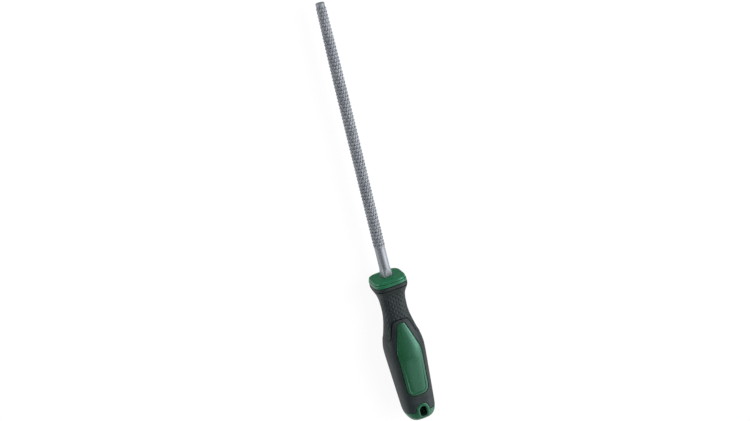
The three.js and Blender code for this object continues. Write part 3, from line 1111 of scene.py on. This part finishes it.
# %% Green finish
green.surface(
    Base_Color=shade,
    Specular_IOR_Level=0.9,
    Specular_Tint=(0.5, 1.0, 0.85, 1),
    Roughness=0.22 + cloud * 0.08 + scuffs * 0.12 + coarse * 0.06 + slot_painted_shade * 0.5,
    Normal=green.bump(spark, 0.000016, 0.7),
)
matte = {"Base Color": shade, "Specular IOR Level": 0.0, "Roughness": 0.6}
dull = green.node("ShaderNodeBsdfPrincipled", None, matte)
satin = Signal(green, green.tree.nodes["Principled BSDF"].outputs[0])
worn = green.node("ShaderNodeMixShader", None, [coarse * 0.8, satin, dull])
green.plug(green.tree.nodes["Material Output"].inputs["Surface"], worn)
dress(green, core_collar, core_spine, panel_front, panel_rear, core_butt, core_slot_rim)

# %% [markdown]
# ## Soft grey sleeve
#
# The sleeve is a soft plastic with a dull skin. It is almost black in the shade and turns to a dusty grey
# where light grazes it. A little dust stays in the grain, in drifting patches, and long streaks are rubbed
# smoother by the hand.

# %% Sleeve finish
shade_grey, dusty_grey = (0.0075, 0.013, 0.014, 1), (0.0135, 0.0215, 0.0225, 1)
grain_grey = (0.048, 0.062, 0.065, 1)
soft = new_finish("soft_grey")
soft_place = soft.place()
dust = soft.noise(soft_place, 55, 5, 0.6)
grain = soft.noise(soft_place, 2100, 3)
rub = soft.noise(soft.stretched(soft_place, (30, 90, 90)), 1, 3)
grey = soft.mixed(soft.span(dust, 0.35, 0.7), shade_grey, dusty_grey)
grey = soft.mixed(soft.span(grain, 0.5, 0.75) * 0.3, grey, grain_grey)
soft.surface(
    Base_Color=grey,
    Specular_IOR_Level=0.55,
    Specular_Tint=(0.9, 1.0, 1.0, 1),
    Roughness=0.5 + dust * 0.12 - rub * 0.12,
    Normal=soft.bump(grain, 0.00005, 0.8),
)
dress(soft, soft_sleeve)

# %% [markdown]
# ## Camera
#
# The photograph looks down on the tool from over its tip, turned a little to one side. The three turns
# below were found by laying the CAD model's edges over the picture: the lean towards the tip, the roll
# round the tool axis and the turn of the picture itself. A long lens from 1.2 m keeps the sides nearly
# parallel.

# %% Camera
picture_width, picture_height = 750, 421
lean, roll, turn = math.radians(19.3), math.radians(15.3), math.radians(13.72)
distance, pixels_per_mm = 1215.0, 1.443
aim_px = (370.4, 209.9)
aim_x = 50
along, left, up = Vector((1, 0, 0)), Vector((0, -1, 0)), Vector((0, 0, 1))
across = math.cos(roll) * left + math.sin(roll) * up
over = math.cos(roll) * up - math.sin(roll) * left
down = -math.cos(lean) * along + math.sin(lean) * over
back = math.sin(lean) * along + math.cos(lean) * over
right = math.cos(turn) * across + math.sin(turn) * down
below = -math.sin(turn) * across + math.cos(turn) * down
aim = Vector((aim_x, 0, 0))
aim -= right * (aim_px[0] - picture_width / 2) / pixels_per_mm
aim -= below * (aim_px[1] - picture_height / 2) / pixels_per_mm
stand = seat_in_frame @ (aim + back * distance)
camera_data = bpy.data.cameras.new("camera")
camera_data.lens = pixels_per_mm * distance / picture_width * camera_data.sensor_width
camera_data.clip_start, camera_data.clip_end = 0.05, 30
camera = bpy.data.objects.new("camera", camera_data)
camera.matrix_world = Matrix((
    (right.x, -below.x, back.x, stand.x),
    (right.y, -below.y, back.y, stand.y),
    (right.z, -below.z, back.z, stand.z),
    (0, 0, 0, 1),
))
bpy.context.scene.collection.objects.link(camera)
bpy.context.scene.camera = camera
print(f"lens {camera_data.lens:.1f} mm, camera {stand.z:.2f} m up")

# %% [markdown]
# ## Light
#
# The round forms have light edges and a dark middle, as they do in a room with soft white windows on both
# sides and none behind the camera. Such a room could be built from area lamps, but each would show as a
# hard patch in the steel. Here the world itself carries the windows. Each is a round patch on the walls,
# bright in its core and soft at its edge, and is told by the angle between the look and its direction.
#
# The strongest two stand at the upper right, where they light the rise of the panel. Low ones on the right
# and at the butt reach the neck, a weak one in front reaches the top of the panel, and the left side has
# a wide and a narrow one. Together they light the tool about as brightly as daylight lights white paper,
# so the colours come out as they are written.
#
# The camera sees plain white walls instead, and so in part does every mirror ray, so that a view along the
# floor has a white background too.

# %% Room
bpy.context.scene.view_settings.view_transform = "Standard"
world = bpy.data.worlds.new("white_room")
bpy.context.scene.world = world
room = Finish(world)
look = room.node("ShaderNodeTexCoord", None, (), "Generated")


def toward(turn_right, lean_to_tip):
    """The direction that is turned by one angle round the tool and leaned by another towards its tip."""
    turned, leaned = math.radians(turn_right), math.radians(lean_to_tip)
    level = across * math.sin(turned) + over * math.cos(turned)
    return level * math.cos(leaned) + along * math.sin(leaned)


def window(direction, radius, soft, strength):
    """A soft round patch of light on the walls of the room."""
    settings = {"operation": "DOT_PRODUCT"}
    facing = room.node("ShaderNodeVectorMath", settings, [look, tuple(direction)], "Value")
    edge, core = math.cos(math.radians(radius)), math.cos(math.radians(radius - soft))
    return room.span(facing, edge, core, 0.0, strength)


# %% Windows
# direction, radius and softness in degrees, strength
windows = [
    (toward(60, -5), 32, 18, 2.35),
    (toward(57, 12), 20, 14, 2.4),
    (toward(85, 16), 22, 16, 0.7),
    (toward(5, 38), 20, 14, 0.3),
    (toward(85, -42), 30, 20, 1.6),
    (toward(35, -45), 25, 20, 0.95),
    (toward(-95, 20), 42, 28, 2.1),
    (toward(-65, 10), 25, 20, 2.3),
    (toward(-40, -50), 30, 20, 0.45),
    (toward(0, 80), 45, 30, 1.2),
]
brightness = 0.0
for direction, radius, soft, strength in windows:
    brightness = brightness + window(direction, radius, soft, strength)
in_picture, in_metal, in_glass = [
    room.node("ShaderNodeLightPath", None, (), kind)
    for kind in ("Is Camera Ray", "Is Glossy Ray", "Is Transmission Ray")
]
walls_white = in_picture + (in_metal + in_glass) * 0.07
strength = brightness * (1.0 - in_picture) + walls_white
room.plug(room.tree.nodes["Background"].inputs["Strength"], strength)
room.tree.nodes["Background"].inputs["Color"].default_value = (0.97, 0.99, 1.0, 1)
print(len(windows), "windows")

# %% [markdown]
# ## One lamp
#
# Light from all sides leaves hardly any shadow, and the tool would seem to float. A small lamp in the
# middle of the brightest window gives it one. Its long side runs along the steel, so that the shadow is
# softest across the tool.

# %% Lamp
def soft_lamp(name, direction, reach, length, width, power):
    """A lamp that faces the middle of the tool, with its long side along the steel."""
    data = bpy.data.lights.new(name, "AREA")
    data.shape, data.energy = "RECTANGLE", power
    data.size, data.size_y = length, width
    short = direction.cross(along).normalized()
    long = short.cross(direction)
    spot = direction * reach
    lamp = bpy.data.objects.new(name, data)
    lamp.matrix_world = Matrix((
        (long.x, short.x, direction.x, spot.x),
        (long.y, short.y, direction.y, spot.y),
        (long.z, short.z, direction.z, spot.z),
        (0, 0, 0, 1),
    ))
    bpy.context.scene.collection.objects.link(lamp)


soft_lamp("key_right", toward(58, 8), reach=1.3, length=0.4, width=0.3, power=0.8)
print("one lamp in the brightest window")

# %% [markdown]
# ## Floor
#
# The tool lies on a white sheet. A white surface in this room would come out a little grey, so for the
# rays that see it, and for those that meet it in the steel, the sheet glows faintly as well. The shadow
# under the tool stays, because part of the sheet is still an ordinary lit surface.

# %% Floor
floor_half = 6
ground = bmesh.new()
bmesh.ops.create_grid(ground, x_segments=1, y_segments=1, size=floor_half)
floor_mesh = bpy.data.meshes.new("floor")
ground.to_mesh(floor_mesh)
ground.free()
floor = bpy.data.objects.new("floor", floor_mesh)
bpy.context.scene.collection.objects.link(floor)
sheet = new_finish("white_sheet")
seen, mirrored, passed = [
    sheet.node("ShaderNodeLightPath", None, (), kind)
    for kind in ("Is Camera Ray", "Is Glossy Ray", "Is Transmission Ray")
]
lit = sheet.node("ShaderNodeBsdfDiffuse", None, {"Color": (0.9, 0.9, 0.9, 1)})
glow = sheet.node("ShaderNodeEmission", None, {"Color": (1, 1, 1, 1), "Strength": 1.08})
blend = sheet.node("ShaderNodeMixShader", None, [seen * 0.86 + (mirrored + passed) * 0.5, lit, glow])
sheet.plug(sheet.tree.nodes["Material Output"].inputs["Surface"], blend)
floor_mesh.materials.append(sheet.owner)
print("floor:", 2 * floor_half, "m wide")
